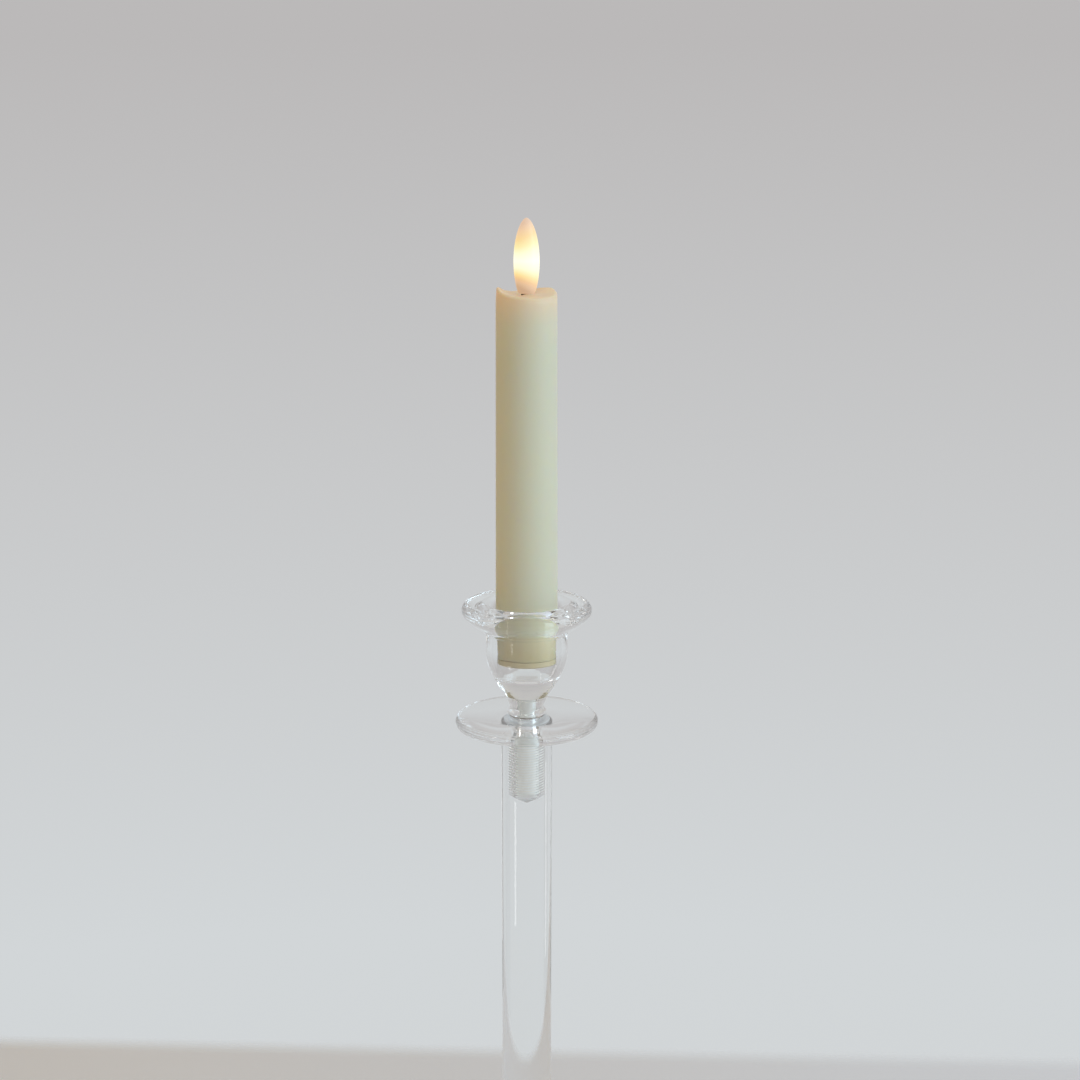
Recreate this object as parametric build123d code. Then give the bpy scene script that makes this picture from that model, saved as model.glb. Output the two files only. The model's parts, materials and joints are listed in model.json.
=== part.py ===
"""Glass candlestick with a battery taper candle, in millimetres.

The origin is the centre of the foot's underside and +Z is up. A glass foot, a solid glass stem,
a glass collar disc and a glass socket cup are screwed together by clear studs. A battery taper
candle stands in the socket: wax on a plastic core tube, two AAA cells, a lamp in the flame and a
twist-off cap with a slide switch. Nearly every piece is turned about Z.
"""
import os
from math import asin, cos, degrees, radians, sin, tan

from build123d import *

# Candlestick
PAD_RADIUS = 38.0
PAD_THICKNESS = 1.2
FOOT_RADIUS = 46.0
FOOT_EDGE_THICKNESS = 6.0
FOOT_HUB_RADIUS = 11.5
FOOT_HEIGHT = 19.0
WASHER_THICKNESS = 0.4
WASHER_RADIUS = 8.4
STEM_RADIUS = 9.25
STEM_LENGTH = 184.9
STEM_CHAMFER = 0.4
COLLAR_RADIUS = 26.0
COLLAR_THICKNESS = 5.3
COLLAR_FLAT_RADIUS = 9.6
COLLAR_TOP_FALL = 0.5
COLLAR_UNDERSIDE_RISE = 1.0
COLLAR_EDGE_ROUNDING = 1.6
COLLAR_HOLE_RADIUS = 4.8

# Studs and the holes they fill
STUD_RADIUS = 4.2
STUD_GAP = 0.05
STUD_GRIP = 23.9
STEM_HOLE_DEPTH = 24.9
DRILL_HALF_ANGLE = 59.0
FOOT_HOLE_DEPTH = 12.0
NECK_PIN_RADIUS = 3.35
NECK_PIN_LENGTH = 6.3
NECK_HOLE_DEPTH = 6.5

# Socket cup, heights above its own base
CUP_FOOT_RADIUS = 7.1
NECK_WAIST_RADIUS = 6.1
NECK_TOP_RADIUS = 7.3
NECK_TOP_HEIGHT = 6.4
LEDGE_RADIUS = 7.8
LEDGE_HEIGHT = 7.2
BULB_EDGE_RADIUS = 10.7
BULB_EDGE_HEIGHT = 11.4
BULB_RADIUS = 14.8
BULB_WIDEST_HEIGHT = 23.0
BULB_TOP_RADIUS = 14.6
BULB_TOP_HEIGHT = 30.7
RING_RADIUS = 15.7
RING_HEIGHT = 32.2
RIM_RADIUS = 23.5
LIP_CREST_RADIUS = 21.4
LIP_CREST_HEIGHT = 41.8
LIP_HEIGHT = 39.6
MOUTH_CREST_RADIUS = 15.3
MOUTH_CREST_HEIGHT = 41.9
SOCKET_FLOOR_HEIGHT = 14.6
SOCKET_FLOOR_RADIUS = 10.6
SOCKET_MOUTH_RADIUS = 12.0
SOCKET_MOUTH_HEIGHT = 36.5
CANDLE_SEAT_HEIGHT = 20.4

# Candle, heights above its own base
CANDLE_END_RADIUS = 10.8
CANDLE_END_TAPER = 7.0
CANDLE_BASE_RADIUS = 11.2
CANDLE_TOP_RADIUS = 10.8
WAX_TOP_HEIGHT = 135.2
WAX_DISH_DEPTH = 2.9
WAX_BORE_RADIUS = 9.0
WICK_HOLE_RADIUS = 2.6
RUN_GAP = 0.3
CAP_JOINT_GAP = 0.12
TUBE_RADIUS = 8.95
TUBE_BORE_RADIUS = 7.9
TUBE_TOP_HEIGHT = 125.2
CELL_RADIUS = 5.2
CELL_LENGTH = 44.5
CELL_NUB_RADIUS = 1.9
CELL_NUB_HEIGHT = 0.9
CELL_START_HEIGHT = 15.5
SLEEVE_BORE_RADIUS = 5.5
SLEEVE_RADIUS = 6.2
RIB_COUNT = 3
RIB_WIDTH = 1.0
STRIP_THICKNESS = 0.3
STRIP_WIDTH = 3.0
BOARD_RADIUS = 7.6
BOARD_THICKNESS = 1.0
HOLDER_THICKNESS = 7.0
WICK_RADIUS = 1.9
WICK_BORE_RADIUS = 1.45
WICK_TOP_HEIGHT = 137.0
LEAD_RADIUS = 0.25
LEAD_SPACING = 1.6
LED_RADIUS = 1.5
LED_LENGTH = 5.2

# Flame, heights above its own base
FLAME_BASE_HEIGHT = 132.9
FLAME_HEIGHT = 26.1
FLAME_RADIUS = 4.55
FLAME_WIDEST_HEIGHT = 11.0
FLAME_FOOT_FALL = 14.3
FLAME_WALL = 0.9

# Cap, heights above the candle's base
CAP_RADIUS = 10.75
CAP_END_RADIUS = 10.6
CAP_FLANGE = 2.0
CAP_SPIGOT_RADIUS = 7.6
CAP_SPIGOT_BORE_RADIUS = 6.6
CAP_HEIGHT = 10.0
CAP_TWIST = 40.0
LUG_REACH_RADIUS = 8.65
LUG_HALF_ANGLE = 7.0
LUG_LOW_HEIGHT = 5.0
LUG_HEIGHT = 1.8
CONTACT_RADIUS = 7.2
CONTACT_THICKNESS = 0.4
SPRING_RADIUS = 3.2
SPRING_WIRE_RADIUS = 0.35
SPRING_TURNS = 4

# Slide switch in the cap
SWITCH_LENGTH = 9.0
SWITCH_WIDTH = 5.0
SWITCH_HEIGHT = 4.0
SWITCH_RECESS = 1.0
SWITCH_TRAVEL = 2.5
KNOB_LENGTH = 2.0
KNOB_WIDTH = 1.2
KNOB_TOP_HEIGHT = 4.2
KNOB_BOTTOM_HEIGHT = 0.3
SLOT_DEPTH_IN_SWITCH = 2.5

# Stacked heights above the table
FOOT_TOP = PAD_THICKNESS + FOOT_HEIGHT
STEM_BOTTOM = FOOT_TOP + WASHER_THICKNESS
STEM_TOP = STEM_BOTTOM + STEM_LENGTH
COLLAR_BOTTOM = STEM_TOP + WASHER_THICKNESS
COLLAR_TOP = COLLAR_BOTTOM + COLLAR_THICKNESS
CUP_BASE = COLLAR_TOP + WASHER_THICKNESS
CANDLE_BASE = CUP_BASE + CANDLE_SEAT_HEIGHT
CELL_TOP = CANDLE_BASE + CELL_START_HEIGHT + 2 * CELL_LENGTH
BOARD_BOTTOM = CELL_TOP + 0.8
BOARD_TOP = BOARD_BOTTOM + BOARD_THICKNESS
CONTACT_TOP = CANDLE_BASE + CAP_HEIGHT + CONTACT_THICKNESS


def at(radius, height):
    """A point of an outline: radius from the axis, height above the table."""
    return (radius, 0, height)


def turned(*edges):
    """The solid that a closed outline beside the axis sweeps in one turn about Z."""
    return revolve(make_face(edges), Axis.Z, 360)


def cylinder(radius, low, high, x=0.0, y=0.0):
    return Pos(x, y, (low + high) / 2) * Cylinder(radius, high - low)


def tube(radius, bore_radius, low, high):
    return cylinder(radius, low, high) - cylinder(bore_radius, low - 1, high + 1)


def block(x_low, x_high, width, low, high):
    """A box centred on Y, between two X positions and two heights."""
    centre = Pos((x_low + x_high) / 2, 0, (low + high) / 2)
    return centre * Box(x_high - x_low, width, high - low)


def sector(radius, bore_radius, low, high, start, end):
    """Part of a ring, between two angles in degrees."""
    face = make_face(Polyline(
        at(bore_radius, low), at(radius, low), at(radius, high), at(bore_radius, high), close=True))
    return Rot(0, 0, start) * revolve(face, Axis.Z, end - start)


def save(name, shape):
    export_step(shape, f"parts/{name}.step")


# Candlestick


def foot_pad():
    return cylinder(PAD_RADIUS, 0, PAD_THICKNESS)


def foot_base():
    """A round foot with a rounded edge that sweeps up to a hub round the stem's end."""
    low = PAD_THICKNESS
    edge_top = low + FOOT_EDGE_THICKNESS
    round_start = FOOT_RADIUS - FOOT_EDGE_THICKNESS / 2
    hub_shoulder = FOOT_TOP - 1.5
    body = turned(
        Line(at(0, FOOT_TOP), at(0, low)),
        Line(at(0, low), at(round_start, low)),
        ThreePointArc(at(round_start, low), at(FOOT_RADIUS, (low + edge_top) / 2), at(round_start, edge_top)),
        Spline(
            at(round_start, edge_top), at(26, edge_top + 2.6), at(14.5, edge_top + 6.4),
            at(FOOT_HUB_RADIUS, hub_shoulder), tangents=[(-1, 0, 0), (0, 0, 1)]),
        ThreePointArc(
            at(FOOT_HUB_RADIUS, hub_shoulder), at(FOOT_HUB_RADIUS - 0.44, FOOT_TOP - 0.44),
            at(FOOT_HUB_RADIUS - 1.5, FOOT_TOP)),
        Line(at(FOOT_HUB_RADIUS - 1.5, FOOT_TOP), at(0, FOOT_TOP)),
    )
    return body - cylinder(STUD_RADIUS + STUD_GAP, FOOT_TOP - FOOT_HOLE_DEPTH, FOOT_TOP + 1)


def drilled_hole(mouth, direction):
    """A blind drilled hole that enters the stem at height mouth and runs up or down."""
    radius = STUD_RADIUS + STUD_GAP
    end = mouth + direction * STEM_HOLE_DEPTH
    tip = end + direction * radius / tan(radians(DRILL_HALF_ANGLE))
    outside = mouth - direction
    return turned(Polyline(at(0, outside), at(radius, outside), at(radius, end), at(0, tip), close=True))


def stem_rod():
    body = turned(Polyline(
        at(0, STEM_BOTTOM), at(STEM_RADIUS - STEM_CHAMFER, STEM_BOTTOM),
        at(STEM_RADIUS, STEM_BOTTOM + STEM_CHAMFER), at(STEM_RADIUS, STEM_TOP - STEM_CHAMFER),
        at(STEM_RADIUS - STEM_CHAMFER, STEM_TOP), at(0, STEM_TOP), close=True))
    return body - drilled_hole(STEM_BOTTOM, 1) - drilled_hole(STEM_TOP, -1)


def lower_stud():
    """The stud between foot and stem, plain where its thread would be."""
    low = FOOT_TOP - FOOT_HOLE_DEPTH + 0.3
    return chamfer(cylinder(STUD_RADIUS, low, STEM_BOTTOM + STUD_GRIP).edges(), 0.6)


def upper_stud():
    """The stud between stem and cup, plain where its thread would be, with a pin for the neck."""
    low = STEM_TOP - STUD_GRIP
    return turned(Polyline(
        at(0, low), at(STUD_RADIUS - 0.6, low), at(STUD_RADIUS, low + 0.6),
        at(STUD_RADIUS, CUP_BASE), at(NECK_PIN_RADIUS, CUP_BASE),
        at(NECK_PIN_RADIUS, CUP_BASE + NECK_PIN_LENGTH), at(0, CUP_BASE + NECK_PIN_LENGTH), close=True))


def collar_disc():
    """A glass disc, a little thicker in the middle, with rounded edges and a hole for the stud."""
    low = COLLAR_BOTTOM
    high = COLLAR_TOP
    edge_low = low + COLLAR_UNDERSIDE_RISE
    edge_high = high - COLLAR_TOP_FALL
    rounding = COLLAR_EDGE_ROUNDING
    corner = rounding * (1 - cos(radians(45)))
    start = COLLAR_RADIUS - rounding
    middle = (COLLAR_FLAT_RADIUS + start) / 2
    return turned(
        Line(at(COLLAR_HOLE_RADIUS, high), at(COLLAR_HOLE_RADIUS, low)),
        Line(at(COLLAR_HOLE_RADIUS, low), at(COLLAR_FLAT_RADIUS, low)),
        Spline(
            at(COLLAR_FLAT_RADIUS, low), at(middle, low + 0.35 * COLLAR_UNDERSIDE_RISE),
            at(start, edge_low), tangents=[(1, 0, 0), (1, 0, 0.09)]),
        ThreePointArc(
            at(start, edge_low), at(COLLAR_RADIUS - corner, edge_low + corner),
            at(COLLAR_RADIUS, edge_low + rounding)),
        Line(at(COLLAR_RADIUS, edge_low + rounding), at(COLLAR_RADIUS, edge_high - rounding)),
        ThreePointArc(
            at(COLLAR_RADIUS, edge_high - rounding), at(COLLAR_RADIUS - corner, edge_high - corner),
            at(start, edge_high)),
        Spline(
            at(start, edge_high), at(middle, high - 0.35 * COLLAR_TOP_FALL),
            at(COLLAR_FLAT_RADIUS, high), tangents=[(-1, 0, 0.045), (-1, 0, 0)]),
        Line(at(COLLAR_FLAT_RADIUS, high), at(COLLAR_HOLE_RADIUS, high)),
    )


def socket_cup():
    """Neck, bulb, shoulder ring and flare, with a raised mouth round a tapered candle socket."""
    base = CUP_BASE
    ring = base + RING_HEIGHT
    under_ring = base + BULB_TOP_HEIGHT
    lip = base + LIP_HEIGHT
    crest = base + LIP_CREST_HEIGHT
    mouth = base + SOCKET_MOUTH_HEIGHT
    mouth_crest = base + MOUTH_CREST_HEIGHT
    floor = base + SOCKET_FLOOR_HEIGHT
    neck_top = base + NECK_TOP_HEIGHT
    ledge = base + LEDGE_HEIGHT
    bulb_edge = base + BULB_EDGE_HEIGHT
    outline = (
        Line(at(0, floor), at(0, base)),
        Line(at(0, base), at(CUP_FOOT_RADIUS - 0.5, base)),
        ThreePointArc(
            at(CUP_FOOT_RADIUS - 0.5, base), at(CUP_FOOT_RADIUS, base + 0.8),
            at(CUP_FOOT_RADIUS - 0.2, base + 1.5)),
        Spline(
            at(CUP_FOOT_RADIUS - 0.2, base + 1.5), at(NECK_WAIST_RADIUS, base + 2.7),
            at(NECK_WAIST_RADIUS + 0.3, base + 3.8), at(NECK_TOP_RADIUS - 0.4, neck_top - 1.4),
            at(NECK_TOP_RADIUS, neck_top)),
        ThreePointArc(
            at(NECK_TOP_RADIUS, neck_top), at(LEDGE_RADIUS - 0.1, neck_top + 0.2), at(LEDGE_RADIUS, ledge)),
        Line(at(LEDGE_RADIUS, ledge), at(BULB_EDGE_RADIUS, bulb_edge)),
        Spline(
            at(BULB_EDGE_RADIUS, bulb_edge), at(12.1, base + 14.0), at(13.8, base + 18.0),
            at(BULB_RADIUS, base + BULB_WIDEST_HEIGHT), at(BULB_TOP_RADIUS, under_ring)),
        Line(at(BULB_TOP_RADIUS, under_ring), at(RING_RADIUS - 0.5, under_ring + 0.4)),
        ThreePointArc(
            at(RING_RADIUS - 0.5, under_ring + 0.4), at(RING_RADIUS, ring - 0.4),
            at(RING_RADIUS - 0.4, ring + 0.3)),
        Spline(
            at(RING_RADIUS - 0.4, ring + 0.3), at(17.8, ring + 1.0), at(20.3, ring + 2.7),
            at(RIM_RADIUS - 1.0, lip - 2.8)),
        ThreePointArc(at(RIM_RADIUS - 1.0, lip - 2.8), at(RIM_RADIUS, lip), at(LIP_CREST_RADIUS, crest)),
        Spline(
            at(LIP_CREST_RADIUS, crest), at(19.7, crest - 0.9), at(18.4, crest - 1.4),
            at(16.9, mouth_crest - 0.6), at(MOUTH_CREST_RADIUS, mouth_crest),
            at(13.5, mouth_crest - 0.6), at(SOCKET_MOUTH_RADIUS + 0.3, mouth + 3.0),
            at(SOCKET_MOUTH_RADIUS, mouth)),
        Line(at(SOCKET_MOUTH_RADIUS, mouth), at(SOCKET_FLOOR_RADIUS, floor + 1.0)),
        Line(at(SOCKET_FLOOR_RADIUS, floor + 1.0), at(SOCKET_FLOOR_RADIUS - 1.0, floor)),
        Line(at(SOCKET_FLOOR_RADIUS - 1.0, floor), at(0, floor)),
    )
    return turned(*outline) - cylinder(NECK_PIN_RADIUS + STUD_GAP, base - 1, base + NECK_HOLE_DEPTH)


# Candle


def wax_shell():
    """A tapered wax body that narrows at its foot, with a dished top and a hole for the wick."""
    low = CANDLE_BASE + CAP_FLANGE + CAP_JOINT_GAP
    high = CANDLE_BASE + WAX_TOP_HEIGHT
    dish = high - WAX_DISH_DEPTH
    ceiling = CANDLE_BASE + TUBE_TOP_HEIGHT + 0.2
    return turned(
        Line(at(WAX_BORE_RADIUS, ceiling), at(WAX_BORE_RADIUS, low)),
        Line(at(WAX_BORE_RADIUS, low), at(CANDLE_END_RADIUS, low)),
        Line(at(CANDLE_END_RADIUS, low), at(CANDLE_BASE_RADIUS, low + CANDLE_END_TAPER)),
        Line(at(CANDLE_BASE_RADIUS, low + CANDLE_END_TAPER), at(CANDLE_TOP_RADIUS, high - 0.6)),
        ThreePointArc(
            at(CANDLE_TOP_RADIUS, high - 0.6), at(CANDLE_TOP_RADIUS - 0.3, high - 0.1),
            at(CANDLE_TOP_RADIUS - 0.8, high)),
        Spline(
            at(CANDLE_TOP_RADIUS - 0.8, high), at(7.0, high - 0.9), at(WICK_HOLE_RADIUS, dish)),
        Line(at(WICK_HOLE_RADIUS, dish), at(WICK_HOLE_RADIUS, ceiling)),
        Line(at(WICK_HOLE_RADIUS, ceiling), at(WAX_BORE_RADIUS, ceiling)),
    )


def core_tube():
    """The tube inside the wax, with two L-shaped slots that lock the cap's lugs."""
    low = CANDLE_BASE + CAP_FLANGE + CAP_JOINT_GAP
    body = tube(TUBE_RADIUS, TUBE_BORE_RADIUS, low, CANDLE_BASE + TUBE_TOP_HEIGHT)
    slot_low = CANDLE_BASE + LUG_LOW_HEIGHT - RUN_GAP
    slot_high = CANDLE_BASE + LUG_LOW_HEIGHT + LUG_HEIGHT + RUN_GAP
    reach = LUG_HALF_ANGLE + 3
    for side in (0, 180):
        slot = sector(TUBE_RADIUS + 1, TUBE_BORE_RADIUS - 1, slot_low, slot_high, side - reach,
                      side + CAP_TWIST + reach)
        entry = sector(TUBE_RADIUS + 1, TUBE_BORE_RADIUS - 1, low - 1, slot_high,
                       side + CAP_TWIST - reach, side + CAP_TWIST + reach)
        body = body - slot - entry
    return body


def cell(bottom):
    """One AAA cell standing on its flat end at this height."""
    shoulder = bottom + CELL_LENGTH - CELL_NUB_HEIGHT
    can = chamfer(cylinder(CELL_RADIUS, bottom, shoulder).edges(), 0.4)
    return can + cylinder(CELL_NUB_RADIUS, shoulder - 1, bottom + CELL_LENGTH)


def battery_sleeve():
    """A sleeve for both cells, held in the core tube by long ribs that leave room for the strip."""
    low = CANDLE_BASE + CELL_START_HEIGHT + 0.2
    high = CELL_TOP - 1.0
    body = cylinder(SLEEVE_RADIUS, low, high)
    rib = block(SLEEVE_RADIUS - 0.5, TUBE_BORE_RADIUS - 0.1, RIB_WIDTH, low, high)
    for number in range(RIB_COUNT):
        body = body + Rot(0, 0, 60 + number * 360 / RIB_COUNT) * rib
    return body - cylinder(SLEEVE_BORE_RADIUS, low - 1, high + 1)


def return_strip():
    """A strip from the cap's contact plate up to the board, with a foot bent inwards."""
    outer = TUBE_BORE_RADIUS - 0.4
    foot = CONTACT_TOP + 0.1
    upright = block(outer - STRIP_THICKNESS, outer, STRIP_WIDTH, foot, BOARD_BOTTOM)
    return upright + block(outer - 2.0, outer, STRIP_WIDTH, foot, foot + STRIP_THICKNESS)


def top_contact():
    return chamfer(cylinder(4.0, CELL_TOP + 0.1, BOARD_BOTTOM).edges().group_by(Axis.Z)[0], 0.3)


def circuit_board():
    return cylinder(BOARD_RADIUS, BOARD_BOTTOM, BOARD_TOP)


def driver_chip():
    return chamfer(block(1.9, 6.3, 4.0, BOARD_TOP, BOARD_TOP + 1.4).edges().group_by(Axis.Z)[-1], 0.2)


def led_leads():
    top = CANDLE_BASE + WICK_TOP_HEIGHT + 0.2
    half = LEAD_SPACING / 2
    return Compound([cylinder(LEAD_RADIUS, BOARD_TOP, top, x=side * half) for side in (-1, 1)])


def led():
    """A small lamp with a flange and a round nose."""
    base = CANDLE_BASE + WICK_TOP_HEIGHT + 0.2
    nose = base + LED_LENGTH - LED_RADIUS
    barrel = cylinder(LED_RADIUS, base, nose) + Pos(0, 0, nose) * Sphere(LED_RADIUS)
    return barrel + cylinder(LED_RADIUS + 0.3, base, base + 0.8)


def flame_holder():
    high = CANDLE_BASE + TUBE_TOP_HEIGHT
    return tube(TUBE_BORE_RADIUS - 0.05, WICK_RADIUS + 0.05, high - HOLDER_THICKNESS, high)


def wick_sleeve():
    high = CANDLE_BASE + TUBE_TOP_HEIGHT
    return tube(WICK_RADIUS, WICK_BORE_RADIUS, high - HOLDER_THICKNESS, CANDLE_BASE + WICK_TOP_HEIGHT)


def ellipse_curve(height, width, rise, start, end, steps=6):
    """A curve along an ellipse centred on the axis at this height, between two angles above level."""
    angles = [radians(start + (end - start) * step / steps) for step in range(steps + 1)]
    points = [at(width * cos(angle), height + rise * sin(angle)) for angle in angles]
    ends = [(-width * sin(angle), 0, rise * cos(angle)) for angle in (angles[0], angles[-1])]
    return Spline(*points, tangents=ends)


def flame_body(shrink):
    """The flame's bullet shape, made smaller all round by this much."""
    widest = CANDLE_BASE + FLAME_BASE_HEIGHT + FLAME_WIDEST_HEIGHT
    tip_rise = FLAME_HEIGHT - FLAME_WIDEST_HEIGHT - shrink
    foot_fall = FLAME_FOOT_FALL - shrink
    width = FLAME_RADIUS - shrink
    foot_angle = degrees(asin((FLAME_WIDEST_HEIGHT - shrink) / foot_fall))
    lower = ellipse_curve(widest, width, foot_fall, -foot_angle, 0)
    upper = ellipse_curve(widest, width, tip_rise, 0, 90)
    low = at(0, widest - FLAME_WIDEST_HEIGHT + shrink)
    return turned(Line(at(0, widest + tip_rise), low), Line(low, lower @ 0), lower, upper)


def flame_shell():
    base = CANDLE_BASE + FLAME_BASE_HEIGHT
    return flame_body(0) - flame_body(FLAME_WALL) - cylinder(WICK_RADIUS + 0.05, base - 1, base + 5)


# Cap and switch


def switch_slot(low, high, margin):
    """The straight slot that the switch's knob slides in."""
    half = SWITCH_TRAVEL / 2 + KNOB_LENGTH / 2 + margin
    return block(-half, half, KNOB_WIDTH + 2 * margin, low, high)


def base_cap():
    """A flange that closes the candle, a hollow spigot with two lugs, and the switch's recess."""
    base = CANDLE_BASE
    flange_top = base + CAP_FLANGE
    flange = turned(Polyline(
        at(0, base), at(CAP_END_RADIUS - 0.4, base), at(CAP_END_RADIUS, base + 0.4),
        at(CAP_RADIUS, flange_top), at(0, flange_top), close=True))
    body = flange + tube(CAP_SPIGOT_RADIUS, CAP_SPIGOT_BORE_RADIUS, flange_top, base + CAP_HEIGHT)
    lug_low = base + LUG_LOW_HEIGHT
    for side in (0, 180):
        body = body + sector(LUG_REACH_RADIUS, CAP_SPIGOT_BORE_RADIUS, lug_low, lug_low + LUG_HEIGHT,
                             side - LUG_HALF_ANGLE, side + LUG_HALF_ANGLE)
    recess_half = SWITCH_LENGTH / 2
    recess = block(-recess_half, recess_half, SWITCH_WIDTH, base - 1, base + SWITCH_RECESS)
    return body - recess - switch_slot(base, flange_top + 1, RUN_GAP)


def cap_contact():
    low = CANDLE_BASE + CAP_HEIGHT
    return cylinder(CONTACT_RADIUS, low, CONTACT_TOP)


def contact_spring():
    """A coil that presses the cells up against the top contact."""
    low = CONTACT_TOP + SPRING_WIRE_RADIUS + 0.05
    high = CANDLE_BASE + CELL_START_HEIGHT - SPRING_WIRE_RADIUS - 0.05
    path = Pos(0, 0, low) * Helix((high - low) / SPRING_TURNS, high - low, SPRING_RADIUS)
    wire = Plane(origin=path @ 0, z_dir=path % 0) * Circle(SPRING_WIRE_RADIUS)
    return sweep(wire, path=path, is_frenet=True)


def switch_body():
    low = CANDLE_BASE + CAP_FLANGE
    half = SWITCH_LENGTH / 2
    case = block(-half, half, SWITCH_WIDTH, low, low + SWITCH_HEIGHT)
    return case - switch_slot(low - 1, low + SLOT_DEPTH_IN_SWITCH, RUN_GAP)


def switch_knob():
    """The knob at its on end."""
    centre = SWITCH_TRAVEL / 2
    half = KNOB_LENGTH / 2
    return block(centre - half, centre + half, KNOB_WIDTH, CANDLE_BASE + KNOB_BOTTOM_HEIGHT,
                 CANDLE_BASE + KNOB_TOP_HEIGHT)


os.makedirs("parts", exist_ok=True)

save("foot_pad", foot_pad())
save("foot_base", foot_base())
save("lower_washer", tube(WASHER_RADIUS, STUD_RADIUS + RUN_GAP, FOOT_TOP, STEM_BOTTOM))
save("lower_stud", lower_stud())
save("stem_rod", stem_rod())
save("upper_washer", tube(WASHER_RADIUS, COLLAR_HOLE_RADIUS, STEM_TOP, COLLAR_BOTTOM))
save("upper_stud", upper_stud())
save("collar_disc", collar_disc())
save("neck_washer", tube(CUP_FOOT_RADIUS - 0.6, STUD_RADIUS + RUN_GAP, COLLAR_TOP, CUP_BASE))
save("socket_cup", socket_cup())

save("wax_shell", wax_shell())
save("core_tube", core_tube())
save("battery_sleeve", battery_sleeve())
save("battery_lower", cell(CANDLE_BASE + CELL_START_HEIGHT))
save("battery_upper", cell(CANDLE_BASE + CELL_START_HEIGHT + CELL_LENGTH))
save("return_strip", return_strip())
save("top_contact", top_contact())
save("circuit_board", circuit_board())
save("driver_chip", driver_chip())
save("led_leads", led_leads())
save("led", led())
save("flame_holder", flame_holder())
save("wick_sleeve", wick_sleeve())
save("flame_shell", flame_shell())

save("base_cap", base_cap())
save("cap_contact", cap_contact())
save("contact_spring", contact_spring())
save("switch_body", switch_body())
save("switch_knob", switch_knob())
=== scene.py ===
"""Looks of the glass candlestick and its battery candle, in metres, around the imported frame."""
import json
from math import atan2, cos, pi, radians, sin, sqrt

import bmesh
import bpy
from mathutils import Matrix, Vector


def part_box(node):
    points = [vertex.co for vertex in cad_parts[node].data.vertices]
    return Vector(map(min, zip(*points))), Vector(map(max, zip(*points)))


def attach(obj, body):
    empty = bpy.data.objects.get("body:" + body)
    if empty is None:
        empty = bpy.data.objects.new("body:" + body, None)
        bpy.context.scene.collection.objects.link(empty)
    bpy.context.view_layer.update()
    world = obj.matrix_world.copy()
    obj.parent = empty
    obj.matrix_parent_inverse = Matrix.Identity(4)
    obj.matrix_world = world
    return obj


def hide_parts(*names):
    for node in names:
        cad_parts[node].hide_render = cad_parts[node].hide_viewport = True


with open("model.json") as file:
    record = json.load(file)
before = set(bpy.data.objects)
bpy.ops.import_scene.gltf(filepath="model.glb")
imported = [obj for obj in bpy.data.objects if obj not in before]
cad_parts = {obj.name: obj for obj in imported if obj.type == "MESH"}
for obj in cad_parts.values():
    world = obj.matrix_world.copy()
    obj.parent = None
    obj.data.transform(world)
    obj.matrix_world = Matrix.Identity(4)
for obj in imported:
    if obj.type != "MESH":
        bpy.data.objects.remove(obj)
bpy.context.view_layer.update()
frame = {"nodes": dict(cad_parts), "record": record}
scene = bpy.context.scene
MM = 0.001

# Camera: distance from the stem's axis, height above the table, offset to the right, tilt down and
# roll in degrees, and lens in millimetres
CAMERA_DISTANCE = 0.740
CAMERA_HEIGHT = 0.450
CAMERA_SIDE = 0.0046
CAMERA_PITCH = 13.2
CAMERA_ROLL = -0.06
CAMERA_LENS = 70.7
BOUNCES = 24

# How far behind the stem's axis the table ends
TABLE_BACK = 0.150


# Outlines: lists of (radius, height) in millimetres above a piece's own base


def line(*points):
    """Straight stretches from point to point."""
    return list(points)


def arc(start, middle, end, steps=10):
    """Points along the circle through three points."""
    (ax, ay), (bx, by), (cx, cy) = start, middle, end
    d = 2 * (ax * (by - cy) + bx * (cy - ay) + cx * (ay - by))
    a2, b2, c2 = ax * ax + ay * ay, bx * bx + by * by, cx * cx + cy * cy
    ux = (a2 * (by - cy) + b2 * (cy - ay) + c2 * (ay - by)) / d
    uy = (a2 * (cx - bx) + b2 * (ax - cx) + c2 * (bx - ax)) / d
    radius = sqrt((ax - ux) ** 2 + (ay - uy) ** 2)
    first = atan2(ay - uy, ax - ux)
    turn = (atan2(cy - uy, cx - ux) - first) % (2 * pi)
    half = (atan2(by - uy, bx - ux) - first) % (2 * pi)
    if half > turn:
        turn -= 2 * pi
    angles = [first + turn * step / steps for step in range(steps + 1)]
    return [(ux + radius * cos(angle), uy + radius * sin(angle)) for angle in angles]


def curve(*points, steps=8, start=None, end=None):
    """A smooth curve through points, with given directions at its ends if it needs them."""
    before = (2 * points[0][0] - points[1][0], 2 * points[0][1] - points[1][1])
    after = (2 * points[-1][0] - points[-2][0], 2 * points[-1][1] - points[-2][1])
    knots = [Vector(p) for p in (before, *points, after)]
    tangents = [(knots[i + 1] - knots[i - 1]) / 2 for i in range(1, len(knots) - 1)]
    if start:
        tangents[0] = Vector(start).normalized() * (knots[2] - knots[1]).length
    if end:
        tangents[-1] = Vector(end).normalized() * (knots[-2] - knots[-3]).length
    result = []
    for i in range(len(points) - 1):
        p, q, m, n = knots[i + 1], knots[i + 2], tangents[i], tangents[i + 1]
        for step in range(steps):
            t = step / steps
            square, cube = t ** 2, t ** 3
            result.append(tuple(
                p * (2 * cube - 3 * square + 1) + m * (cube - 2 * square + t)
                + q * (3 * square - 2 * cube) + n * (cube - square)))
    return result + [tuple(points[-1])]


def joined(*stretches):
    """One outline from stretches that follow each other."""
    outline = []
    for stretch in stretches:
        for point in stretch:
            if not outline or (Vector(point) - Vector(outline[-1])).length > 1e-5:
                outline.append(tuple(point))
    return outline


# Meshes


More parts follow.
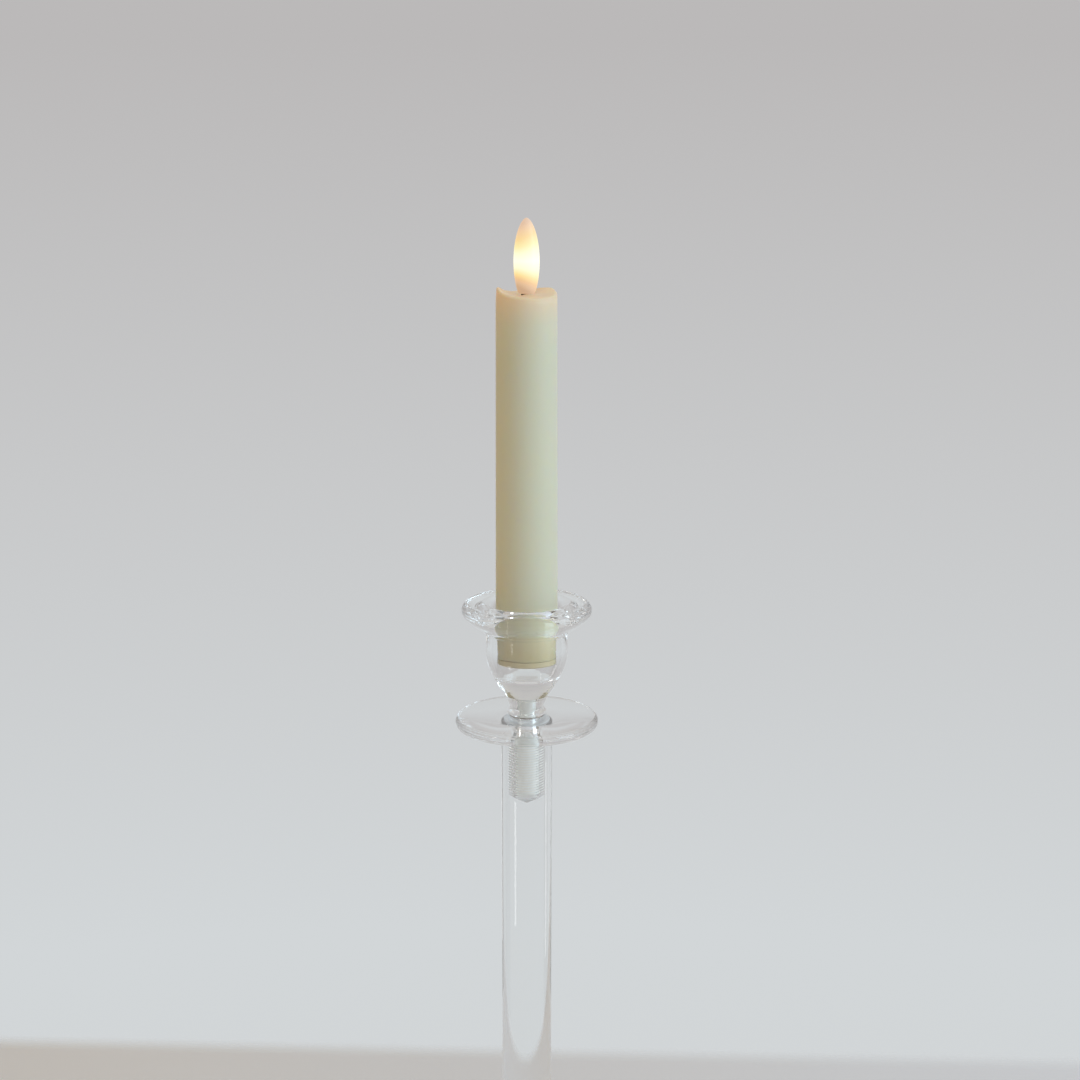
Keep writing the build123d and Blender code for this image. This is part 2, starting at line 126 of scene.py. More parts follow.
def lathe(name, outline, base, segments=160, shape=None, sharp=32):
    """A closed solid turned about Z from an outline that starts and ends on the axis, or closes.

    shape(radius, height, angle) may move a point: it returns the new radius and height.
    """
    closed = outline[0][0] > 1e-6
    verts, rings = [], []
    for radius, height in outline:
        if radius < 1e-6:
            rings.append([len(verts)])
            verts.append((0, 0, base + height * MM))
            continue
        ring = []
        for k in range(segments):
            angle = 2 * pi * k / segments
            r, h = shape(radius, height, angle) if shape else (radius, height)
            ring.append(len(verts))
            verts.append((r * MM * cos(angle), r * MM * sin(angle), base + h * MM))
        rings.append(ring)
    faces = []
    pairs = list(zip(rings, rings[1:]))
    if closed:
        pairs.append((rings[-1], rings[0]))
    for a, b in pairs:
        for k in range(segments):
            n = (k + 1) % segments
            if len(a) == 1 and len(b) == 1:
                break
            if len(a) == 1:
                faces.append((a[0], b[k], b[n]))
            elif len(b) == 1:
                faces.append((a[k], b[0], a[n]))
            else:
                faces.append((a[k], b[k], b[n], a[n]))
    mesh = bpy.data.meshes.new(name)
    mesh.from_pydata(verts, [], faces)
    mesh.validate()
    obj = bpy.data.objects.new(name, mesh)
    scene.collection.objects.link(obj)
    finish_normals(obj, sharp)
    return obj


def finish_normals(obj, sharp):
    """Turns the faces outwards and smooths all but the edges sharper than this many degrees."""
    bm = bmesh.new()
    bm.from_mesh(obj.data)
    bmesh.ops.recalc_face_normals(bm, faces=bm.faces)
    if bm.calc_volume(signed=True) < 0:
        bmesh.ops.reverse_faces(bm, faces=bm.faces)
    bm.to_mesh(obj.data)
    bm.free()
    obj.data.shade_smooth()
    obj.data.set_sharp_from_angle(angle=radians(sharp))


def stands_for(obj, body, node, slot, material):
    """Puts a piece on its body in place of a CAD node. Clear pieces cast no shadow."""
    obj.data.materials.clear()
    obj.data.materials.append(material)
    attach(obj, body)
    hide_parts(node)
    if slot.startswith("clear"):
        obj.visible_shadow = False


# Materials


def new_material(name):
    material = bpy.data.materials.new(name)
    material.use_nodes = True
    nodes, links = material.node_tree.nodes, material.node_tree.links
    return material, nodes, links, nodes["Principled BSDF"]


def add_bump(nodes, links, shader, scale, strength, distance, detail=3.0, stretch=(1, 1, 1)):
    """A bump from noise in the piece's own space."""
    place = nodes.new("ShaderNodeTexCoord")
    mapping = nodes.new("ShaderNodeMapping")
    mapping.inputs["Scale"].default_value = stretch
    texture = nodes.new("ShaderNodeTexNoise")
    texture.inputs["Scale"].default_value = scale
    texture.inputs["Detail"].default_value = detail
    bump = nodes.new("ShaderNodeBump")
    bump.inputs["Strength"].default_value = strength
    bump.inputs["Distance"].default_value = distance
    links.new(place.outputs["Object"], mapping.inputs["Vector"])
    links.new(mapping.outputs["Vector"], texture.inputs["Vector"])
    links.new(texture.outputs["Fac"], bump.inputs["Height"])
    links.new(bump.outputs["Normal"], shader.inputs["Normal"])
    return texture


def distance_from_axis(nodes, links):
    """The radius of a point about Z, in metres."""
    place = nodes.new("ShaderNodeTexCoord")
    flat = nodes.new("ShaderNodeVectorMath")
    flat.operation = "MULTIPLY"
    flat.inputs[1].default_value = (1, 1, 0)
    length = nodes.new("ShaderNodeVectorMath")
    length.operation = "LENGTH"
    links.new(place.outputs["Object"], flat.inputs[0])
    links.new(flat.outputs["Vector"], length.inputs[0])
    return length.outputs["Value"]


def within(nodes, links, radius, inside, outside):
    """One value nearer the axis than this radius and another beyond it."""
    blend = 0.0001
    reach = nodes.new("ShaderNodeMapRange")
    reach.inputs["From Min"].default_value = radius - blend
    reach.inputs["From Max"].default_value = radius + blend
    reach.inputs["To Min"].default_value = inside
    reach.inputs["To Max"].default_value = outside
    links.new(distance_from_axis(nodes, links), reach.inputs["Value"])
    return reach.outputs["Result"]


def glass_material(name, ground_radius=0.0, ground=0.45, ripple_radius=0.0, ripple=0.12):
    """Clear glass, with a ground surface near the axis and ripples inside a socket if asked for."""
    material, nodes, links, shader = new_material(name)
    shader.inputs["Base Color"].default_value = (0.985, 0.99, 0.988, 1)
    shader.inputs["Roughness"].default_value = 0.0
    shader.inputs["IOR"].default_value = 1.5
    shader.inputs["Transmission Weight"].default_value = 1.0
    if ground_radius:
        links.new(within(nodes, links, ground_radius, ground, 0.0), shader.inputs["Roughness"])
    if ripple_radius:
        add_bump(nodes, links, shader, 90, 1.0, 0.0005, detail=1.5, stretch=(1, 1, 5))
        bump = shader.inputs["Normal"].links[0].from_node
        links.new(within(nodes, links, ripple_radius, ripple, 0.04), bump.inputs["Strength"])
    return material


def clear_plastic(name, roughness, tint, grain, transmission=1.0):
    """Plastic that lets light through, the milkier the lower its transmission is."""
    material, nodes, links, shader = new_material(name)
    shader.inputs["Base Color"].default_value = (*tint, 1)
    shader.inputs["Roughness"].default_value = roughness
    shader.inputs["IOR"].default_value = 1.49
    shader.inputs["Transmission Weight"].default_value = transmission
    add_bump(nodes, links, shader, 900, grain, 0.0002)
    return material


def solid_material(name, color, roughness, metallic=0.0, vary=0.06, scale=300, bump=0.15):
    """An opaque surface whose colour, gloss and height vary a little with one noise."""
    spread = 0.06
    material, nodes, links, shader = new_material(name)
    shader.inputs["Metallic"].default_value = metallic
    texture = add_bump(nodes, links, shader, scale, bump, 0.0002)
    ramp = nodes.new("ShaderNodeValToRGB")
    ramp.color_ramp.elements[0].position = 0.3
    ramp.color_ramp.elements[1].position = 0.7
    ramp.color_ramp.elements[0].color = (*[c * (1 - vary) for c in color], 1)
    ramp.color_ramp.elements[1].color = (*[min(1, c * (1 + vary)) for c in color], 1)
    rough = nodes.new("ShaderNodeMapRange")
    rough.inputs["To Min"].default_value = roughness - spread
    rough.inputs["To Max"].default_value = roughness + spread
    links.new(texture.outputs["Fac"], ramp.inputs["Fac"])
    links.new(ramp.outputs["Color"], shader.inputs["Base Color"])
    links.new(texture.outputs["Fac"], rough.inputs["Value"])
    links.new(rough.outputs["Result"], shader.inputs["Roughness"])
    return material


def color_ramp(nodes, links, factor, stops):
    """A colour ramp with these stops, driven by this socket."""
    ramp = nodes.new("ShaderNodeValToRGB")
    elements = ramp.color_ramp.elements
    while len(elements) < len(stops):
        elements.new(0.5)
    for element, (position, color) in zip(elements, stops):
        element.position = position
        element.color = (*color, 1)
    links.new(factor, ramp.inputs["Fac"])
    return ramp


def height_ramp(nodes, links, low, high, stops):
    """A colour ramp up the object, between two heights in metres."""
    place = nodes.new("ShaderNodeTexCoord")
    split = nodes.new("ShaderNodeSeparateXYZ")
    reach = nodes.new("ShaderNodeMapRange")
    reach.inputs["From Min"].default_value = low
    reach.inputs["From Max"].default_value = high
    links.new(place.outputs["Object"], split.inputs["Vector"])
    links.new(split.outputs["Z"], reach.inputs["Value"])
    return color_ramp(nodes, links, reach.outputs["Result"], stops)


def wax_material_with_painted_light():
    """Wax with painted shade and warm reflection darkening it towards its base, and painted flame
    light at its top: a warmer colour and a painted glow.
    """
    material, nodes, links, shader = new_material("wax")
    shader.inputs["Roughness"].default_value = 0.42
    shader.inputs["Subsurface Weight"].default_value = 0.5
    shader.inputs["Subsurface Radius"].default_value = (1.0, 0.7, 0.35)
    shader.inputs["Subsurface Scale"].default_value = 0.004
    shader.inputs["Specular IOR Level"].default_value = 0.35
    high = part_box("wax_shell")[1].z
    # whole spans the colour ramp; lit is how far below the top the painted flame glow reaches
    whole, lit = 0.135, 0.024
    # Colour up the candle: the amber base stops are painted shade and warm reflection, the ivory
    # middle is the wax's own colour, the warmer top stop is painted flame light
    color = height_ramp(nodes, links, high - whole, high, [
        (0.0, (0.76, 0.62, 0.36)), (0.07, (0.765, 0.66, 0.42)), (0.17, (0.77, 0.765, 0.60)),
        (0.90, (0.77, 0.76, 0.59)), (1.0, (0.80, 0.70, 0.52))])
    # Painted glow: emission on the top of the wax stands in for the flame's light on it
    glow = height_ramp(nodes, links, high - lit, high, [
        (0.0, (0.0, 0.0, 0.0)), (0.5, (0.03, 0.012, 0.004)), (1.0, (0.13, 0.06, 0.025))])
    links.new(color.outputs["Color"], shader.inputs["Base Color"])
    links.new(glow.outputs["Color"], shader.inputs["Emission Color"])
    shader.inputs["Emission Strength"].default_value = 1.0
    add_bump(nodes, links, shader, 120, 0.2, 0.0003, detail=4.0)
    return material


def flame_material(low, high):
    """A lit plastic flame, hottest in the middle, with a smaller hot core on its -X side."""
    hottest, half_width = 0.44, 0.0045
    material, nodes, links, shader = new_material("flame_plastic")
    shader.inputs["Base Color"].default_value = (0.33, 0.28, 0.24, 1)
    shader.inputs["Roughness"].default_value = 0.4
    shader.inputs["Emission Strength"].default_value = 0.94
    stops = [
        (0.0, (0.45, 0.28, 0.17)), (0.08, (0.61, 0.39, 0.23)), (0.14, (0.74, 0.46, 0.20)),
        (0.21, (0.88, 0.66, 0.25)), (0.32, (0.95, 0.92, 0.62)), (hottest, (1.0, 1.0, 0.80)),
        (0.56, (0.95, 0.92, 0.62)), (0.67, (0.86, 0.77, 0.36)), (0.79, (0.83, 0.59, 0.25)),
        (0.92, (0.74, 0.50, 0.30)), (1.0, (0.62, 0.42, 0.29))]
    ramp = height_ramp(nodes, links, low, high, stops)
    place = nodes.new("ShaderNodeTexCoord")
    split = nodes.new("ShaderNodeSeparateXYZ")
    links.new(place.outputs["Object"], split.inputs["Vector"])
    stretch = nodes.new("ShaderNodeMapRange")
    stretch.inputs["From Min"].default_value = -half_width
    stretch.inputs["From Max"].default_value = half_width
    stretch.inputs["To Min"].default_value = 1.35
    stretch.inputs["To Max"].default_value = 0.85
    links.new(split.outputs["X"], stretch.inputs["Value"])
    centred = nodes.new("ShaderNodeMath")
    centred.operation = "SUBTRACT"
    centred.inputs[1].default_value = hottest
    scaled = nodes.new("ShaderNodeMath")
    scaled.operation = "MULTIPLY_ADD"
    scaled.inputs[2].default_value = hottest
    reach = ramp.inputs["Fac"].links[0].from_socket
    links.new(reach, centred.inputs[0])
    links.new(centred.outputs["Value"], scaled.inputs[0])
    links.new(stretch.outputs["Result"], scaled.inputs[1])
    links.new(scaled.outputs["Value"], ramp.inputs["Fac"])
    links.new(ramp.outputs["Color"], shader.inputs["Emission Color"])
    add_bump(nodes, links, shader, 200, 0.05, 0.0002)
    return material


GLASS = glass_material("clear_glass", ground_radius=0.0046)
CUP_GLASS = glass_material("pressed_glass", ripple_radius=0.0123)
STUD_PLASTIC = clear_plastic("stud_plastic", 0.5, (0.96, 0.93, 0.88), 0.1, transmission=0.4)
WASHER_PLASTIC = clear_plastic("washer_plastic", 0.3, (0.93, 0.94, 0.95), 0.05, transmission=0.45)
# Painted shade: the clear neck washer is tinted dark amber so that a dark rim shows at the neck
NECK_WASHER_PAINTED_SHADE = clear_plastic("neck_washer_painted_shade", 0.2, (0.42, 0.34, 0.28), 0.05)
PAD_RUBBER = clear_plastic("pad_rubber", 0.3, (0.90, 0.91, 0.91), 0.1, transmission=0.35)
WAX = wax_material_with_painted_light()


# Glass pieces, in millimetres. AIR_GAP keeps a piece's face off the face that it stands on.

AIR_GAP = 0.02
STUD_RADIUS = 4.2
HOLE_RADIUS = 4.25
HOLE_DEPTH = 24.9
STUD_GRIP = 23.9
DRILL_TIP = 2.554
THREAD_PITCH = 1.0
THREAD_DEPTH = 0.05
PIN_RADIUS = 3.35
PIN_LENGTH = 6.3


def base_of(node):
    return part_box(node)[0].z


def height_of(node):
    low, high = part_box(node)
    return (high.z - low.z) / MM


def threaded(low, high, thread_radius, depth):
    """A shape for lathe that cuts a fine helical thread between two heights at a radius."""
    def shape(radius, height, angle):
        if low <= height <= high and abs(radius - thread_radius) < 0.02:
            phase = (height / THREAD_PITCH - angle / (2 * pi)) % 1.0
            crest = 1 - abs(2 * phase - 1) * 2
            return radius + depth * max(-1, min(1, crest * 1.4)), height
        return radius, height
    return shape


def steps_between(radius, low, high, step=0.1):
    """Points close together up or down a cylinder, so that a thread can shape it."""
    count = max(1, round(abs(high - low) / step))
    return [(radius, low + (high - low) * k / count) for k in range(count + 1)]


def stem_rod():
    length = height_of("stem_rod")
    edge = 0.4
    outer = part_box("stem_rod")[1].x / MM
    hole_low, top = length - HOLE_DEPTH, length - AIR_GAP
    outline = joined(
        line((0, HOLE_DEPTH + DRILL_TIP), (HOLE_RADIUS, HOLE_DEPTH)),
        steps_between(HOLE_RADIUS, HOLE_DEPTH, AIR_GAP),
        line((HOLE_RADIUS, AIR_GAP), (outer - edge, AIR_GAP), (outer, edge)),
        line((outer, length - edge), (outer - edge, top), (HOLE_RADIUS, top)),
        steps_between(HOLE_RADIUS, top, hole_low),
        line((HOLE_RADIUS, hole_low), (0, hole_low - DRILL_TIP)))
    low_thread = threaded(0.5, HOLE_DEPTH - 0.5, HOLE_RADIUS, THREAD_DEPTH)
    high_thread = threaded(hole_low + 0.5, length - 0.5, HOLE_RADIUS, THREAD_DEPTH)

    def both(radius, height, angle):
        return (low_thread if height < length / 2 else high_thread)(radius, height, angle)

    obj = lathe("stem_rod_glass", outline, base_of("stem_rod"), 128, both)
    stands_for(obj, "stand", "stem_rod", "clear_glass", GLASS)


def collar_disc():
    low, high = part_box("collar_disc")
    thick = (high.z - low.z) / MM
    hole, flat, outer = 4.8, 9.6, 26.0
    fall, rise, edge = 0.5, 1.0, 1.6
    start, corner = outer - edge, edge * (1 - sqrt(0.5))
    middle = (flat + start) / 2
    top, face = thick - fall, thick - AIR_GAP
    outline = joined(
        line((hole, face), (hole, 0.15), (hole + 0.13, AIR_GAP)),
        curve((flat, AIR_GAP), (middle, 0.35 * rise), (start, rise),
              start=(1, 0), end=(1, 0.09), steps=12),
        arc((start, rise), (outer - corner, rise + corner), (outer, rise + edge), 12),
        arc((outer, top - edge), (outer - corner, top - corner), (start, top), 12),
        curve((start, top), (middle, thick - 0.35 * fall), (flat, face),
              start=(-1, 0.045), end=(-1, 0), steps=12),
        line((hole + 0.15, face)))
    obj = lathe("collar_disc_glass", outline, low.z, 192)
    stands_for(obj, "collar", "collar_disc", "clear_glass", GLASS)


def socket_cup():
    hole, hole_depth, floor, mouth = 3.4, 6.5, 14.6, 36.5
    outline = joined(
        line((0, floor), (9.6, floor), (10.6, floor + 1.0), (12.0, mouth)),
        curve((12.0, mouth), (12.3, 39.5), (13.5, 41.3), (15.3, 41.9), (16.9, 41.3), (18.4, 40.4),
              (19.7, 40.9), (21.4, 41.8)),
        arc((21.4, 41.8), (23.5, 39.6), (22.5, 36.8)),
        curve((22.5, 36.8), (20.3, 34.9), (17.8, 33.2), (15.3, 32.5)),
        arc((15.3, 32.5), (15.7, 31.8), (15.2, 31.1)),
        line((15.2, 31.1), (14.6, 30.7)),
        curve((14.6, 30.7), (14.8, 23.0), (13.8, 18.0), (12.1, 14.0), (10.7, 11.4), steps=12),
        line((10.7, 11.4), (7.8, 7.2)),
        arc((7.8, 7.2), (7.7, 6.6), (7.3, 6.4), 5),
        curve((7.3, 6.4), (6.9, 5.0), (6.4, 3.8), (6.1, 2.7), (6.9, 1.5)),
        arc((6.9, 1.5), (7.1, 0.8), (6.6, AIR_GAP), 6),
        line((6.6, AIR_GAP), (hole, AIR_GAP), (hole, hole_depth), (0, hole_depth)))
    obj = lathe("socket_cup_glass", outline, base_of("socket_cup"), 192)
    stands_for(obj, "cup", "socket_cup", "clear_glass", CUP_GLASS)


def foot_base():
    low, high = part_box("foot_base")
    total = (high.z - low.z) / MM
    outer, edge, hub, hole = 45.98, 6.0, 11.5, 12.0
    start = outer - edge / 2
    outline = joined(
        line((0, 0), (start, 0)),
        arc((start, 0), (outer, edge / 2), (start, edge), 16),
        curve((start, edge), (26, edge + 2.6), (14.5, edge + 6.4), (hub, total - 1.5),
              start=(-1, 0), end=(0, 1), steps=12),
        arc((hub, total - 1.5), (hub - 0.44, total - 0.44), (hub - 1.5, total)),
        line((hub - 1.5, total), (HOLE_RADIUS, total)),
        steps_between(HOLE_RADIUS, total, total - hole),
        line((HOLE_RADIUS, total - hole), (0, total - hole)))
    thread = threaded(total - hole + 0.4, total - 0.4, HOLE_RADIUS, THREAD_DEPTH)
    obj = lathe("foot_base_glass", outline, low.z, 192, thread)
    stands_for(obj, "stand", "foot_base", "clear_glass", GLASS)


def upper_stud():
    length = height_of("upper_stud")
    neck = length - PIN_LENGTH
    outline = joined(
        line((0, 0), (STUD_RADIUS - 0.6, 0), (STUD_RADIUS, 0.6)),
        steps_between(STUD_RADIUS, 0.6, STUD_GRIP),
        line((STUD_RADIUS, STUD_GRIP), (STUD_RADIUS, neck), (PIN_RADIUS, neck)),
        line((PIN_RADIUS, length), (0, length)))
    obj = lathe("upper_stud_plastic", outline, base_of("upper_stud"), 96,
                threaded(0.8, STUD_GRIP - 0.3, STUD_RADIUS, -THREAD_DEPTH))
    stands_for(obj, "cup", "upper_stud", "clear_stud", STUD_PLASTIC)


def lower_stud():
    length = height_of("lower_stud")
    outline = joined(
        line((0, 0), (STUD_RADIUS - 0.6, 0), (STUD_RADIUS, 0.6)),
        steps_between(STUD_RADIUS, 0.6, length - 0.6),
        line((STUD_RADIUS, length - 0.6), (STUD_RADIUS - 0.6, length), (0, length)))
    obj = lathe("lower_stud_plastic", outline, base_of("lower_stud"), 96,
                threaded(0.8, length - 0.8, STUD_RADIUS, -THREAD_DEPTH))
    stands_for(obj, "stand", "lower_stud", "clear_stud", STUD_PLASTIC)


def washer(node, body):
    low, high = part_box(node)
    thick, outer = (high.z - low.z) / MM, high.x / MM
    hole, edge = 4.8 if node == "upper_washer" else 4.5, 0.1
    outline = line((hole, 0), (outer - edge, 0), (outer, edge), (outer, thick - edge),
                   (outer - edge, thick), (hole, thick))
    obj = lathe(node + "_ring", outline, low.z, 96)
    material = NECK_WASHER_PAINTED_SHADE if node == "neck_washer" else WASHER_PLASTIC
    stands_for(obj, body, node, "clear_washer", material)


def foot_pad():
    low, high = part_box("foot_pad")
    thick, outer = (high.z - low.z) / MM, high.x / MM
    outline = joined(
        line((0, 0), (outer - 0.3, 0), (outer, 0.3)),
        arc((outer, thick - 0.4), (outer - 0.1, thick - 0.1), (outer - 0.4, thick - AIR_GAP), 4),
        line((0, thick - AIR_GAP)))
    obj = lathe("foot_pad_disc", outline, low.z, 160)
    stands_for(obj, "stand", "foot_pad", "clear_pad", PAD_RUBBER)


# Candle


# How far the melted rim sinks below its highest point, every 30 degrees from +X through +Y
RIM_SINK = (2.2, 0.9, 1.2, 2.0, 2.4, 1.4, 0.0, 1.3, 2.4, 2.8, 2.9, 2.8)


def rim_sink(angle):
    """The sink at this angle, from a smooth closed curve through RIM_SINK."""
    count = len(RIM_SINK)
    place = angle / (2 * pi) * count
    k, t = int(place) % count, place - int(place)
    a, b, c, d = (RIM_SINK[(k + n) % count] for n in (-1, 0, 1, 2))
    return b + 0.5 * t * (c - a + t * (2 * a - 5 * b + 4 * c - d + t * (3 * (b - c) + d - a)))


def wax_shell():
    low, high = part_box("wax_shell")
    total = (high.z - low.z) / MM
    wide, slim, bore, wick = 11.2, 10.8, 9.0, 2.6
    taper, melt = 7.0, 5.0
    straight = total - taper - melt
    body = [(wide - (wide - slim) * k / 40, taper + straight * k / 40) for k in range(41)]
    rim = [(slim, total - melt + 0.4 * k) for k in range(11)]
    outline = joined(
        line((bore, total - 9.8), (bore, 0), (10.74, 0), (10.8, 0.08), (wide, taper)), body, rim,
        arc((slim, total - 1.0), (10.5, total - 0.25), (9.8, total)),
        curve((9.8, total), (7.0, total - 0.15), (4.6, total - 0.3), (wick, total - 0.3), steps=10),
        line((wick, total - 3.6), (wick, total - 9.8)))

    def melted(radius, height, angle):
        """Sinks the rim unevenly, and the wax round the wick more than the edge."""
        if height < total - melt or radius < wick - 0.01:
            return radius, height
        rise = min(1.0, (height - total + melt) / 4.0)
        reach = min(1.0, max(0.0, (radius - wick) / (slim - wick)))
        pool = 2.65 - 0.8 * cos(angle + 0.9)
        wave = rim_sink(angle) * reach ** 0.8 + pool * (1 - reach)
        swell = 0.12 * sin(3 * angle + 1.0) * rise
        side = swell - 0.15 * rise if radius > bore else 0
        return radius + side, height - rise * wave

    obj = lathe("wax_shell_body", outline, low.z, 160, melted, sharp=50)
    stands_for(obj, "candle", "wax_shell", "ivory_wax", WAX)


def flame_shell():
    low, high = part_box("flame_shell")
    total = (high.z - low.z) / MM
    widest, width, fall = 11.0, 4.55, 14.3
    points = []
    for k in range(25):
        height = widest * k / 24
        points.append((width * sqrt(1 - ((widest - height) / fall) ** 2), height))
    for k in range(1, 33):
        angle = pi / 2 * k / 32
        points.append((width * cos(angle) ** 1.15, widest + (total - widest) * sin(angle)))
    points[-1] = (0, total)
    outline = joined(line((0, 0)), points)
    obj = lathe("flame_shell_body", outline, low.z, 64)
    stands_for(obj, "candle", "flame_shell", "flame_plastic", flame_material(low.z, high.z))


stem_rod()
collar_disc()
socket_cup()
foot_base()
foot_pad()
washer("lower_washer", "stand")
washer("upper_washer", "stand")
washer("neck_washer", "cup")
upper_stud()
lower_stud()
wax_shell()
flame_shell()

PLASTIC = solid_material("white_plastic", (0.75, 0.74, 0.70), 0.4)
# The cap's ivory is partly painted shade: darkened towards amber to match the painted shade at the
# wax's base
IVORY = solid_material("ivory_plastic", (0.74, 0.61, 0.36), 0.4)
BLACK = solid_material("black_plastic", (0.02, 0.02, 0.02), 0.45)
STEEL = solid_material("cell_steel", (0.6, 0.6, 0.6), 0.3, 1.0)
BRASS = solid_material("contact_brass", (0.78, 0.62, 0.32), 0.3, 1.0)
NICKEL = solid_material("plated_wire", (0.72, 0.71, 0.69), 0.25, 1.0)
BOARD = solid_material("board_green", (0.03, 0.17, 0.07), 0.4)
LENS = solid_material("lamp_lens", (1.0, 0.85, 0.6), 0.2)
BY_SLOT = {
    "clear_washer": WASHER_PLASTIC, "clear_pad": PAD_RUBBER, "white_plastic": PLASTIC,
    "ivory_plastic": IVORY, "black_plastic": BLACK, "cell_steel": STEEL, "contact_brass": BRASS,
    "plated_wire": NICKEL, "board_green": BOARD, "lamp_lens": LENS, "clear_glass": GLASS,
    "clear_stud": STUD_PLASTIC, "ivory_wax": WAX, "flame_plastic": LENS}
for part in frame["record"]["subparts"]:
    node = frame["nodes"][part["node"]]
    for slot in node.material_slots:
        slot.material = BY_SLOT[part["material_slot"]]

# Stage


def table():
    """A pale table top whose far edge runs slightly askew and melts into the wall's tone."""
    mesh = bpy.data.meshes.new("table")
    x, front, thick, skew = 1.6, -1.6, 0.03, 0.042
    corners = [(sx * x, TABLE_BACK + 0.02 - skew * sx * x if back else front, z)
               for sx in (-1, 1) for back in (0, 1) for z in (-thick, 0)]
    faces = [(0, 1, 3, 2), (4, 6, 7, 5), (0, 4, 5, 1), (2, 3, 7, 6), (1, 5, 7, 3), (0, 2, 6, 4)]
    mesh.from_pydata(corners, [], faces)
    obj = bpy.data.objects.new("table", mesh)
    scene.collection.objects.link(obj)
    material = solid_material("table_paint", (0.84, 0.855, 0.90), 0.75, vary=0.012, scale=4, bump=0.02)
    nodes, links = material.node_tree.nodes, material.node_tree.links
    place = nodes.new("ShaderNodeTexCoord")
    split = nodes.new("ShaderNodeSeparateXYZ")
    askew = nodes.new("ShaderNodeMath")
    askew.operation = "MULTIPLY_ADD"
    askew.inputs[1].default_value = skew
    fade = nodes.new("ShaderNodeMapRange")
    fade.interpolation_type = "SMOOTHSTEP"
    fade.inputs["From Min"].default_value = TABLE_BACK - 0.007
    fade.inputs["From Max"].default_value = TABLE_BACK + 0.010
    fade.inputs["To Min"].default_value = 1
    fade.inputs["To Max"].default_value = 0
    links.new(place.outputs["Object"], split.inputs["Vector"])
    links.new(split.outputs["X"], askew.inputs[0])
    links.new(split.outputs["Y"], askew.inputs[2])
    links.new(askew.outputs["Value"], fade.inputs["Value"])
    links.new(fade.outputs["Result"], nodes["Principled BSDF"].inputs["Alpha"])
    obj.data.materials.append(material)


def card(name, across, low, high, color, glow=0.0, lights=False):
    """An upright panel, dark or glowing. The glass sees it or, if it lights, the wax does."""
    (ax, ay), (bx, by) = across
    corners = [(ax, ay, low), (bx, by, low), (bx, by, high), (ax, ay, high)]
    mesh = bpy.data.meshes.new(name)
    mesh.from_pydata(corners, [], [(0, 1, 2, 3)])
    obj = bpy.data.objects.new(name, mesh)
    scene.collection.objects.link(obj)
    material = solid_material(name, color, 0.9, vary=0.02, scale=8, bump=0.02)
    shader = material.node_tree.nodes["Principled BSDF"]
    shader.inputs["Emission Color"].default_value = (*color, 1)
    shader.inputs["Emission Strength"].default_value = glow
    obj.data.materials.append(material)
    obj.visible_camera = False
    obj.visible_diffuse = lights
    obj.visible_glossy = not lights
    obj.visible_transmission = not lights
    obj.visible_shadow = lights


table()
card("edge_left", ((-0.20, -0.035), (-0.20, 0.085)), 0.0, 0.20, (0.36, 0.35, 0.34))
card("edge_right", ((0.20, -0.02), (0.20, 0.085)), 0.0, 0.20, (0.36, 0.35, 0.34))
card("glint_left", ((-0.254, -0.165), (-0.226, -0.199)), 0.004, 0.072, (1.0, 1.0, 1.0), 3.6)
card("glint_right", ((0.19, 0.010), (0.19, 0.036)), 0.035, 0.13, (0.95, 0.97, 1.0), 1.8)
card("warm_left", ((-0.30, -0.34), (-0.42, 0.55)), 0.05, 0.95, (0.42, 0.26, 0.07), 0.45, lights=True)

# World: a pale wall that gets a little brighter and cooler downwards, and a dimmer room before it


def linear(red, green, blue):
    """A display colour from 0 to 255 as linear light."""
    return [((c / 255 + 0.055) / 1.055) ** 2.4 for c in (red, green, blue)]


def world_ramp(nodes, links, height, stops):
    """The colours of one side of the world, by the direction's Z from -1 to 1."""
    linear_stops = [((level + 1) / 2, linear(*color)) for level, color in stops]
    return color_ramp(nodes, links, height, linear_stops).outputs["Color"]


WALL = [
    (-1.0, (190, 190, 188)), (-0.6, (208, 211, 212)), (-0.4, (210, 214, 216)),
    (-0.2, (200, 201, 202)), (0.0, (187, 185, 185)), (0.25, (188, 186, 186)),
    (0.5, (200, 199, 198)), (1.0, (208, 207, 205))]
ROOM = [
    (-1.0, (186, 184, 181)), (-0.3, (186, 184, 181)), (0.0, (183, 180, 176)), (0.3, (184, 181, 177)),
    (0.55, (200, 198, 196)), (1.0, (208, 207, 205))]

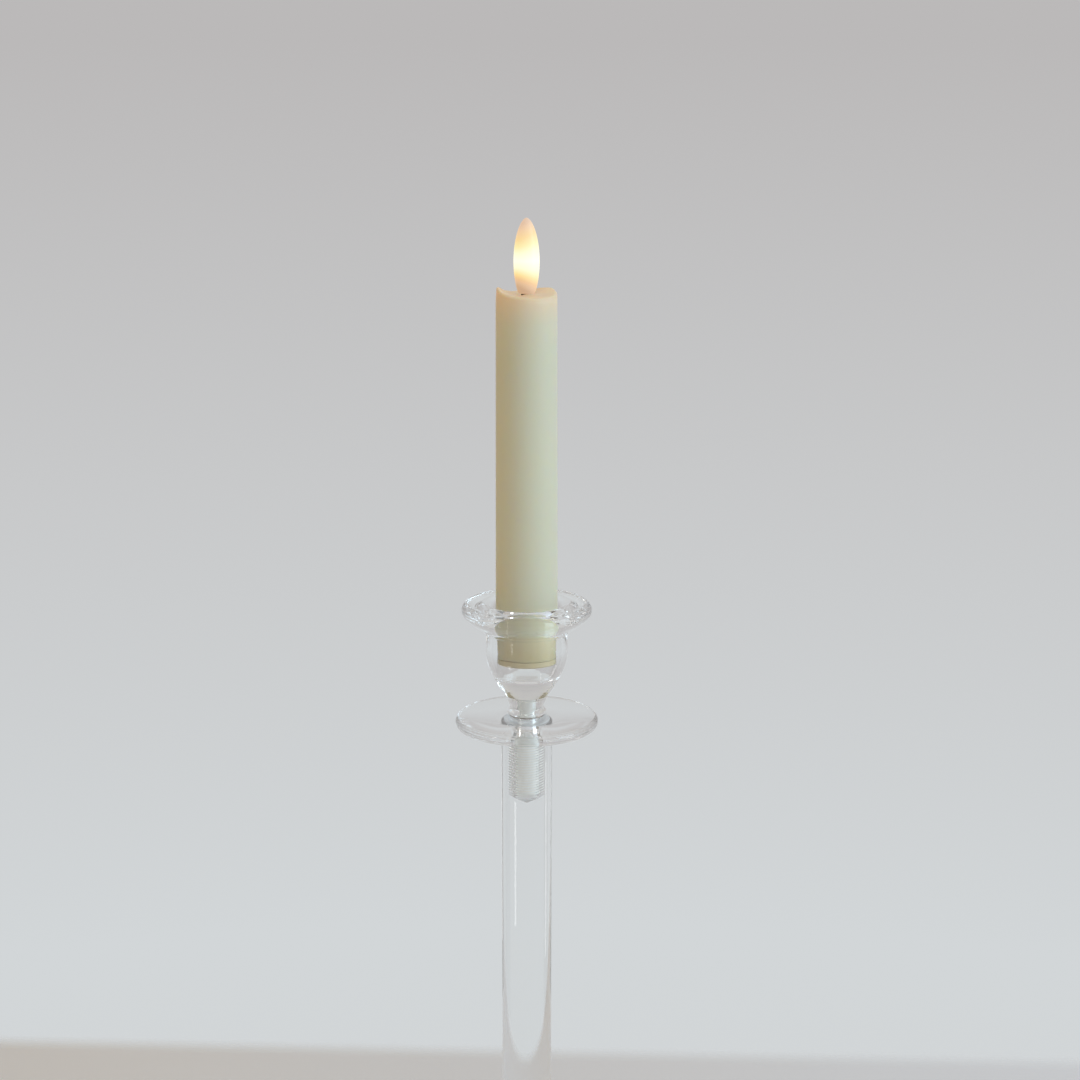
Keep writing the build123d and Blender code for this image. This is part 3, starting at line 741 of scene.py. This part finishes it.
world = bpy.data.worlds.new("room")
scene.world = world
world.use_nodes = True
wn, wl = world.node_tree.nodes, world.node_tree.links
direction = wn.new("ShaderNodeTexCoord")
split = wn.new("ShaderNodeSeparateXYZ")
height = wn.new("ShaderNodeMapRange")
height.inputs["From Min"].default_value = -1
height.inputs["From Max"].default_value = 1
depth = wn.new("ShaderNodeMapRange")
depth.inputs["From Min"].default_value = -0.35
depth.inputs["From Max"].default_value = 0.15
depth.interpolation_type = "SMOOTHSTEP"
mix = wn.new("ShaderNodeMix")
mix.data_type = "RGBA"
wl.new(direction.outputs["Generated"], split.inputs["Vector"])
wl.new(split.outputs["Z"], height.inputs["Value"])
wl.new(split.outputs["Y"], depth.inputs["Value"])
wl.new(depth.outputs["Result"], mix.inputs["Factor"])
wl.new(world_ramp(wn, wl, height.outputs["Result"], ROOM), mix.inputs[6])
wl.new(world_ramp(wn, wl, height.outputs["Result"], WALL), mix.inputs[7])
wl.new(mix.outputs[2], wn["Background"].inputs["Color"])


def area_light(name, place, target, size, power, color):
    light = bpy.data.lights.new(name, "AREA")
    light.shape = "RECTANGLE"
    light.size, light.size_y = size
    light.energy = power
    light.color = color
    obj = bpy.data.objects.new(name, light)
    obj.location = place
    obj.rotation_euler = (Vector(target) - Vector(place)).to_track_quat("-Z", "Y").to_euler()
    obj.visible_camera = False
    scene.collection.objects.link(obj)


area_light("window", (1.35, -0.55, 0.80), (0, 0, 0.25), (0.8, 1.1), 8, (0.66, 0.86, 1.0))
area_light("far_window", (-1.1, -0.75, 0.75), (0, 0, 0.25), (0.10, 0.8), 0.9, (1.0, 0.98, 0.94))

camera_data = bpy.data.cameras.new("camera")
camera_data.lens = CAMERA_LENS
camera = bpy.data.objects.new("camera", camera_data)
camera.location = (CAMERA_SIDE, -CAMERA_DISTANCE, CAMERA_HEIGHT)
camera.rotation_euler = (radians(90 - CAMERA_PITCH), radians(CAMERA_ROLL), 0)
scene.collection.objects.link(camera)
scene.camera = camera
scene.view_settings.view_transform = "Standard"
scene.cycles.transmission_bounces = BOUNCES
scene.cycles.glossy_bounces = BOUNCES
scene.cycles.max_bounces = BOUNCES
